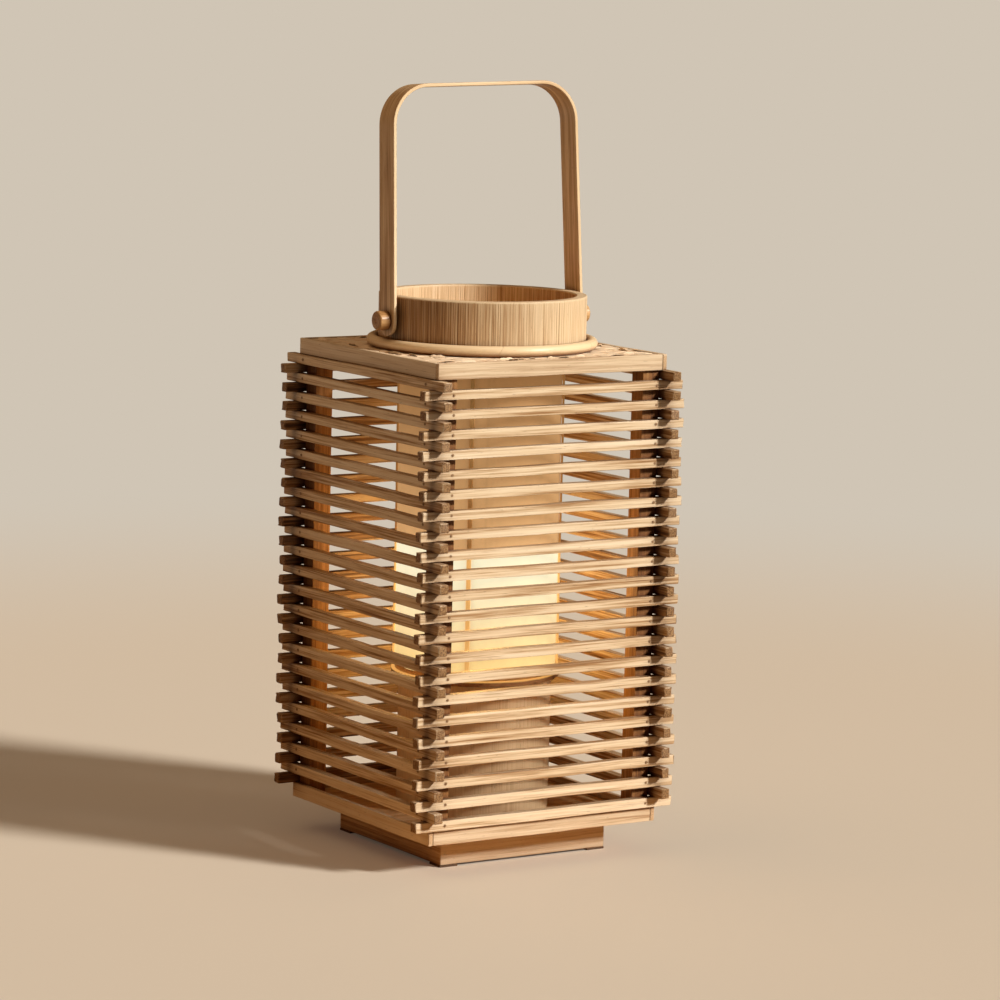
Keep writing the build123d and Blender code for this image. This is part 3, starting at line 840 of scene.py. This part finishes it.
def collar_wall(low, high):
    """Radius, height and facing (1 outside, -1 inside, 0 on the rim), up the wall and down."""
    rim = COLLAR_RIM
    rise = [*np.linspace(low.z, high.z - 2.4 * MM, COLLAR_RISE_STEPS), high.z - rim]
    turn = np.linspace(0, pi / 2, 5)[1:]
    wall = [(high.x, z, 1.0) for z in rise]
    wall += [(high.x - rim + rim * cos(a), high.z - rim + rim * sin(a), 0.0) for a in turn]
    wall += [(COLLAR_BORE + rim - rim * sin(a), high.z - rim + rim * cos(a), 0.0)
             for a in turn - turn[0]]
    wall += [(COLLAR_BORE, z, -1.0) for z in rise[::-1]]
    return np.array(wall).T


def collar():
    """Upright slivers side by side on both walls, under a smooth rim."""
    low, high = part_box("collar_hoop")
    widths = rng.uniform(*SLIVER_WIDTH, int(2 * pi * high.x / np.mean(SLIVER_WIDTH)))
    widths *= 2 * pi / widths.sum()
    count = len(widths)
    tones = np.clip(rng.normal(*SLIVER_TONES, count), 0, 1)
    proud = rng.uniform(0, SLIVER_PROUD, count)
    sliver = np.repeat(np.arange(count), len(SLIVER_COLUMNS))
    column = np.tile(SLIVER_COLUMNS, count)
    angle = (np.cumsum(widths) - widths)[sliver] + column * widths[sliver]
    groove = np.tile(SLIVER_GROOVE, count)
    stain = (column == 0.0) * (rng.uniform(0.0, 1.0, count) ** 2)[sliver]
    radius, height, facing = collar_wall(low, high)
    fade = np.abs(facing) * np.clip((high.z - COLLAR_RIM - height) / COLLAR_FADE, 0, 1)
    dent = fade * (SLIVER_DEPTH * groove + proud[sliver])[:, None]
    ring = radius - facing * dent
    offset = rng.uniform(0, GRAIN_SPAN, count)[sliver]
    grain = np.stack([height + offset[:, None], angle[:, None] * ring, ring], -1)
    tone = tones[sliver][:, None] * fade + COLLAR_RIM_TONE * (1 - fade)
    tone = tone + SLIVER_STAIN * stain[:, None] * fade
    # Painted shade: each wall darker round the angle where it is out of the key light
    for side, middle in COLLAR_SHADED_SIDES.items():
        darkening = np.clip(np.cos(angle - middle), 0, 1)[:, None] ** 1.5 * (side * facing > 0)
        tone = tone + COLLAR_PAINTED_SHADE * darkening
    surface = Surface()
    surface.grid(round_z(ring, angle, height), grain, tone, loop=True)
    surface.build("sliver_collar", "sliver", "body", "collar_bamboo", "collar_hoop")


RING_SEAM = radians(-113.4)
RING_SEAM_DEPTH = 0.3 * MM
RING_SEAM_WIDTH = 0.45 * MM
RING_SEAM_SKEW = 0.03  # radians
RING_UNEVENNESS = 0.03
RING_GRAIN_START = 1.7
RING_STATIONS = 181
RING_POINTS = 20


def rattan():
    """A peeled cane bent round the collar's foot, its ends scarfed together."""
    low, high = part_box("rattan_ring")
    thick = (high.z - low.z) / 2
    middle = high.x - thick
    near_seam = np.linspace(-0.06, 0.06, 49)
    angle = np.concatenate([np.linspace(-pi, pi, RING_STATIONS)[:-1], near_seam])
    angle = np.unique(angle) + RING_SEAM
    around = np.linspace(0, 2 * pi, RING_POINTS, endpoint=False)
    from_seam = (angle - RING_SEAM)[:, None] - RING_SEAM_SKEW * np.sin(around)
    dent = RING_SEAM_DEPTH * np.exp(-(from_seam * middle / RING_SEAM_WIDTH) ** 2)
    swell = 1 - RING_UNEVENNESS * np.abs(drift(angle[:, None] * 0.11, 1.0))
    ring = thick * swell - dent
    out, up = ring * np.cos(around), ring * np.sin(around)
    points = round_z(middle + out, angle, (high.z + low.z) / 2 + up)
    run = np.broadcast_to(angle[:, None] * middle, ring.shape)
    grain = np.stack([run, out, up], -1) + RING_GRAIN_START
    tone = 0.3 + 0.4 * dent / RING_SEAM_DEPTH
    surface = Surface()
    surface.grid(points, grain, tone, loop=True)
    surface.build("rattan_cane", "rattan", "body", "rattan", "rattan_ring")


# --- Handle

def unit(vector):
    return vector / np.linalg.norm(vector)


def rounded_path(corners, radius, step):
    """Points and outward normals along straight runs joined by tangent arcs."""
    corners = np.array(corners, float)
    places, normals = [], []

    def run(start, stop):
        count = max(2, int(np.linalg.norm(stop - start) / step))
        heading = unit(stop - start)
        for share in np.linspace(0, 1, count, endpoint=False):
            places.append(start + share * (stop - start))
            normals.append((-heading[1], heading[0]))

    start = corners[0]
    for before, corner, after in zip(corners, corners[1:], corners[2:]):
        back, on = unit(before - corner), unit(after - corner)
        half = np.arccos(np.clip(back @ on, -1, 1)) / 2
        leave = corner + back * radius / np.tan(half)
        run(start, leave)
        start = corner + on * radius / np.tan(half)
        centre = corner + unit(back + on) * radius / np.sin(half)
        first = leave - centre
        sweep = pi - 2 * half
        for share in np.linspace(0, 1, BEND_STEPS, endpoint=False):
            angle = atan2(first[1], first[0]) - sweep * share
            normals.append((cos(angle), sin(angle)))
            places.append(centre + radius * np.array(normals[-1]))
    run(start, corners[-1])
    places.append(corners[-1])
    normals.append(normals[-1])
    return np.array(places), np.array(normals)


def tail_stations(places, normals, radius):
    """Extra stations at both ends, so that the rounded tails come out round."""
    shares = 1 - np.cos(np.linspace(TAIL_START, pi / 2, TAIL_STEPS))
    ends = []
    for here, beyond in ((0, 1), (-1, -2)):
        heading = unit(places[beyond] - places[here])
        ends.append(places[here] + radius * shares[:, None] * heading)
    to_ends = [np.linalg.norm(places - places[here], axis=1) for here in (0, -1)]
    inner = np.minimum(*to_ends) > radius * TAIL_CLEAR
    places = np.concatenate([ends[0], places[inner], ends[1][::-1]])
    return places, np.pad(normals[inner], ((TAIL_STEPS, TAIL_STEPS), (0, 0)), "edge")


def handle():
    """A strip bent over in one piece, its two tails rounded below the pins."""
    low = PIVOT_HEIGHT - HANDLE_TAIL
    corners = ((-HANDLE_HALF_LOW, low), (-HANDLE_HALF_HIGH, HANDLE_TOP - HANDLE_SKEW / 2),
               (HANDLE_HALF_HIGH, HANDLE_TOP + HANDLE_SKEW / 2), (HANDLE_HALF_LOW, low))
    places, normals = rounded_path(corners, HANDLE_BEND, HANDLE_STEP)
    half = HANDLE_WIDTH / 2
    places, normals = tail_stations(places, normals, half)
    travel = np.concatenate([[0], np.cumsum(np.linalg.norm(np.diff(places, axis=0), axis=1))])
    to_end = np.minimum(travel, travel[-1] - travel) + half * (1 - cos(TAIL_START))
    depth = np.minimum(to_end, half)
    width = np.sqrt(half ** 2 - (half - depth) ** 2) / half
    section = rounded_section(HANDLE_WIDTH, HANDLE_THICKNESS, HANDLE_EDGE, corner_points=4)
    across = section[:, 0] * width[:, None]
    out = -HANDLE_THICKNESS / 2 + section[None, :, 1] * np.ones_like(width)[:, None]
    flat = places[:, None, :] + out[..., None] * normals[:, None, :]
    points = np.stack([flat[..., 0], across, flat[..., 1] - PIVOT_HEIGHT], -1)
    points = points @ np.array(Matrix.Rotation(-HANDLE_LEAN, 3, "X")).T
    points[..., 2] += PIVOT_HEIGHT
    grain = np.stack([np.broadcast_to(travel[:, None], across.shape), across, out], -1)
    # Partly the skin's own colour, partly painted shade on the broad faces
    broad = np.abs(section[:, 1]) / (HANDLE_THICKNESS / 2)
    tone = HANDLE_EDGE_TONE + (HANDLE_FACE_TONE - HANDLE_EDGE_TONE) * broad ** 2
    surface = Surface()
    surface.grid(points, grain + HANDLE_GRAIN_START, tone)
    surface.build("bent_handle", "handle", "handle", "handle_bamboo", "handle_bail")


def pins():
    """Turned pins: a shank through the leg and a knob with a chamfered, ringed face."""
    for which, side, tone in PINS:
        low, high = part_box(f"handle_pin_{which}")
        head = high.z - PIVOT_HEIGHT
        root, tip = sorted((abs(low.x), abs(high.x)))
        seat = HANDLE_HALF_LOW + PIN_GAP
        shank = [(0.0, root), (PIN_SHANK, root), (PIN_SHANK, seat)]
        rim = [(head - 0.5 * MM, seat), (head, seat + 0.5 * MM), (head, tip - 1.8 * MM),
               (head - 0.5 * MM, tip - 0.8 * MM), (head - 1.2 * MM, tip - 0.2 * MM)]
        face = [(head - 1.9 * MM, tip - 0.05 * MM), (head - 2.6 * MM, tip - 0.2 * MM),
                (head - 3.2 * MM, tip - 0.05 * MM), (2.6 * MM, tip), (2.2 * MM, tip - 0.25 * MM),
                (0.0, tip - 0.3 * MM)]
        surface = Surface()
        lathe(surface, shank + rim + face, PIN_STEPS, tone, closed=False)
        points = surface.points[0]
        surface.points[0] = np.stack([side * points[:, 2], points[:, 1],
                                      points[:, 0] + PIVOT_HEIGHT], -1)
        surface.build(f"turned_pin_{which}", "knob", "body", "pin_wood",
                      f"handle_pin_{which}")


# --- Shade

def paper(node, name, material, slot, taper=0.0, seam=None):
    """A paper tube, not quite even, with its lapped seam."""
    low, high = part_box(node)
    outer = high.x
    rows = np.linspace(low.z, high.z, PAPER_ROWS)
    lumps = [(rng.integers(2, 9), rng.uniform(8, 30), rng.uniform(0, 2 * pi))
             for _ in range(PAPER_LUMPS)]

    def past_seam(angle):
        return np.mod(angle - seam, 2 * pi)

    def uneven(angle, height):
        depth = sum(np.sin(turns * angle + pitch * height + phase) for turns, pitch, phase in lumps)
        depth = -PAPER_DENT * (1 + depth / PAPER_LUMPS)
        foot = np.clip((low.z + TAPER_HEIGHT - height) / TAPER_HEIGHT, 0, 1)
        depth = depth - taper * foot ** 1.5
        if seam is not None:
            depth = depth + PAPER_DENT * (past_seam(angle) < SEAM_LAP)
        return depth

    profile = [(outer, z) for z in rows] + [(outer - PAPER_THICKNESS, z) for z in rows[::-1]]
    angle = np.linspace(0, 2 * pi, PAPER_STEPS, endpoint=False)
    tone = np.full((PAPER_STEPS, len(profile)), 0.5)
    # A painted shadow of each rib on the paper
    for rib in RIB_ANGLES:
        off = np.mod(angle - rib + pi, 2 * pi) - pi
        tone += RIB_PAINTED_SHADOW * np.exp(-(off * outer / RIB_SHADOW_REACH) ** 2)[:, None]
    if seam is not None:
        for reach, darker in SEAM_TONES:
            tone[past_seam(angle) < reach] += darker
    surface = Surface()
    lathe(surface, profile, PAPER_STEPS, tone, uneven=uneven)
    surface.build(name, material, "shade", slot, node, sharp=60)


def ribs():
    """Split bamboo ribs outside the paper, each with one joint that stands proud."""
    points = mesh_points("shade_ribs")
    inner = np.hypot(points[:, 0], points[:, 1]).min()
    bottom, top = points[:, 2].min(), points[:, 2].max()
    surface = Surface()
    for turn, angle in enumerate(RIB_ANGLES):
        joint = RIB_JOINT_HEIGHT + RIB_JOINT_STEP * turn

        def swell(height, joint=joint):
            at_joint = np.exp(-((height - joint) / RIB_JOINT_REACH) ** 2)
            return RIB_JOINT_SWELL * at_joint - RIB_SLIMMING

        add_stick(surface, (inner, -RIB_WIDTH / 2, bottom),
                  (inner + RIB_THICKNESS, RIB_WIDTH / 2, top), 2, RIB_EDGE, wander=RIB_WANDER,
                  turn=Matrix.Rotation(angle, 3, "Z"), swell=swell)
    surface.build("split_ribs", "rib", "shade", "rib_bamboo", "shade_ribs")


# --- Pieces whose CAD shape stays

KEPT = {
    "rubber": ["foot_pads"], "board": ["plinth_blocks", "tray_floor"], "aged": ["top_panel"],
    "steel": ["brads_front_back", "brads_left_right"], "fibre": ["handle_washers"],
    "hoop": ["shade_hoop_bottom", "shade_hoop_middle", "shade_hoop_top"],
    "card": ["shade_baffle"], "veneer": ["pedestal_drum"],
    "deck": ["pedestal_foot_ring", "pedestal_deck"], "brass": ["stem_tube", "stem_nuts", "bulb_cap"],
    "bakelite": ["lampholder", "lampholder_ring"], "white_plastic": ["bulb_housing"],
    "globe": ["bulb_globe"], "black_plastic": ["cable_gland", "gland_nut"],
}
CLEAR_TO_BULB = ("lit_washi", "tan_washi", "split_ribs", "bulb_globe", "bulb_housing",
                 *KEPT["hoop"])


def keep_nodes():
    for material, nodes in KEPT.items():
        for node in nodes:
            NODES[node].data.materials.clear()
            NODES[node].data.materials.append(MATERIALS[material])


# --- Stage, light and camera

def floor():
    """A ground plane that fades into the backdrop and bounces a warm light on to the lamp."""
    mesh = bpy.data.meshes.new("floor")
    half = FLOOR_SIZE / 2
    mesh.from_pydata([(-half, -half, 0), (half, -half, 0), (half, half, 0), (-half, half, 0)], [],
                     [(0, 1, 2, 3)])
    plane = new_object("floor", mesh)
    shader = Shader(bpy.data.materials.new("floor"))
    place = shader.place()
    reach = shader.add("VectorMath", {"Vector": place}, operation="LENGTH").outputs["Value"]
    bounce = shader.mix(shader.spread(reach, *FLOOR_BOUNCE_REACH), FLOOR_BOUNCE_NEAR,
                        FLOOR_BOUNCE_FAR)
    seen = shader.add("LightPath").outputs["Is Camera Ray"]
    shader.surface(Base_Color=shader.mix(seen, bounce, FLOOR_COLOUR), Roughness=0.9,
                   Specular_IOR_Level=0.1, Emission_Color=FLOOR_COLOUR,
                   Emission_Strength=shader.math("MULTIPLY", seen, FLOOR_GLOW))
    fade = shader.spread(reach, *FLOOR_FADE, interpolation_type="SMOOTHSTEP")
    backdrop = shader.add("Emission", {"Color": BACKGROUND, "Strength": 1.0})
    shader.join("Material Output", fade, shader.bsdf.outputs["BSDF"],
                backdrop.outputs["Emission"])
    mesh.materials.append(shader.owner)


def world():
    """A dim warm sky, which the camera sees as the backdrop."""
    shader = Shader(bpy.data.worlds.new("studio"))
    sky = shader.tree.nodes["Background"]
    shader.feed(sky.inputs["Color"], SKY_COLOUR)
    shader.feed(sky.inputs["Strength"], SKY_STRENGTH)
    backdrop = shader.add("Background", {"Color": BACKGROUND})
    path = shader.add("LightPath")
    seen = shader.math("MAXIMUM", path.outputs["Is Camera Ray"],
                       path.outputs["Is Transmission Ray"])
    shader.join("World Output", seen, sky.outputs["Background"], backdrop.outputs["Background"])
    bpy.context.scene.world = shader.owner


def sun(name, direction, strength, angle, colour):
    light = bpy.data.lights.new(name, "SUN")
    light.energy = strength
    light.angle = radians(angle)
    light.color = linear(colour)[:3]
    lamp = new_object(name, light)
    lamp.rotation_mode = "QUATERNION"
    lamp.rotation_quaternion = Vector(direction).to_track_quat("Z", "Y")


def lights():
    for settings in SUNS:
        sun(*settings)
    clear = bpy.data.collections.new("clear_to_bulb")
    for name in CLEAR_TO_BULB:
        clear.objects.link(NODES.get(name) or bpy.data.objects[name])
    for entry in clear.collection_objects:
        entry.light_linking.link_state = "EXCLUDE"
    for height, watts in BULB_POWERS:
        bulb = bpy.data.lights.new("bulb", "POINT")
        bulb.energy = watts
        bulb.color = BULB_COLOUR
        bulb.shadow_soft_size = BULB_SOFTNESS
        lamp = new_object("bulb", bulb)
        lamp.location = (0, 0, height)
        lamp.light_linking.blocker_collection = clear


def camera():
    level = Vector((-sin(CAMERA_AZIMUTH), cos(CAMERA_AZIMUTH), 0))
    forward = level * cos(CAMERA_ELEVATION) - Vector((0, 0, sin(CAMERA_ELEVATION)))
    right = forward.cross(Vector((0, 0, 1))).normalized()
    up = right.cross(forward)
    turn = Matrix((right, up, -forward)).transposed() @ Matrix.Rotation(CAMERA_ROLL, 3, "Z")
    place = right * TARGET_RIGHT + Vector((0, 0, TARGET_HEIGHT)) - forward * CAMERA_DISTANCE
    lens = bpy.data.cameras.new("camera")
    lens.lens = CAMERA_LENS_MM
    lens.sensor_width = CAMERA_SENSOR_MM
    eye = new_object("camera", lens)
    eye.matrix_world = Matrix.Translation(place) @ turn.to_4x4()
    bpy.context.scene.camera = eye


slats()
rails()
posts()
woven_mat()
tears()
collar()
rattan()
handle()
pins()
paper("shade_paper_lower", "lit_washi", "washi_lit", "washi_lit", taper=PAPER_TAPER)
paper("shade_paper_upper", "tan_washi", "washi_tan", "washi_tan", seam=SEAM_ANGLE)
ribs()
keep_nodes()
floor()
world()
lights()
camera()
bpy.context.scene.view_settings.view_transform = "Standard"
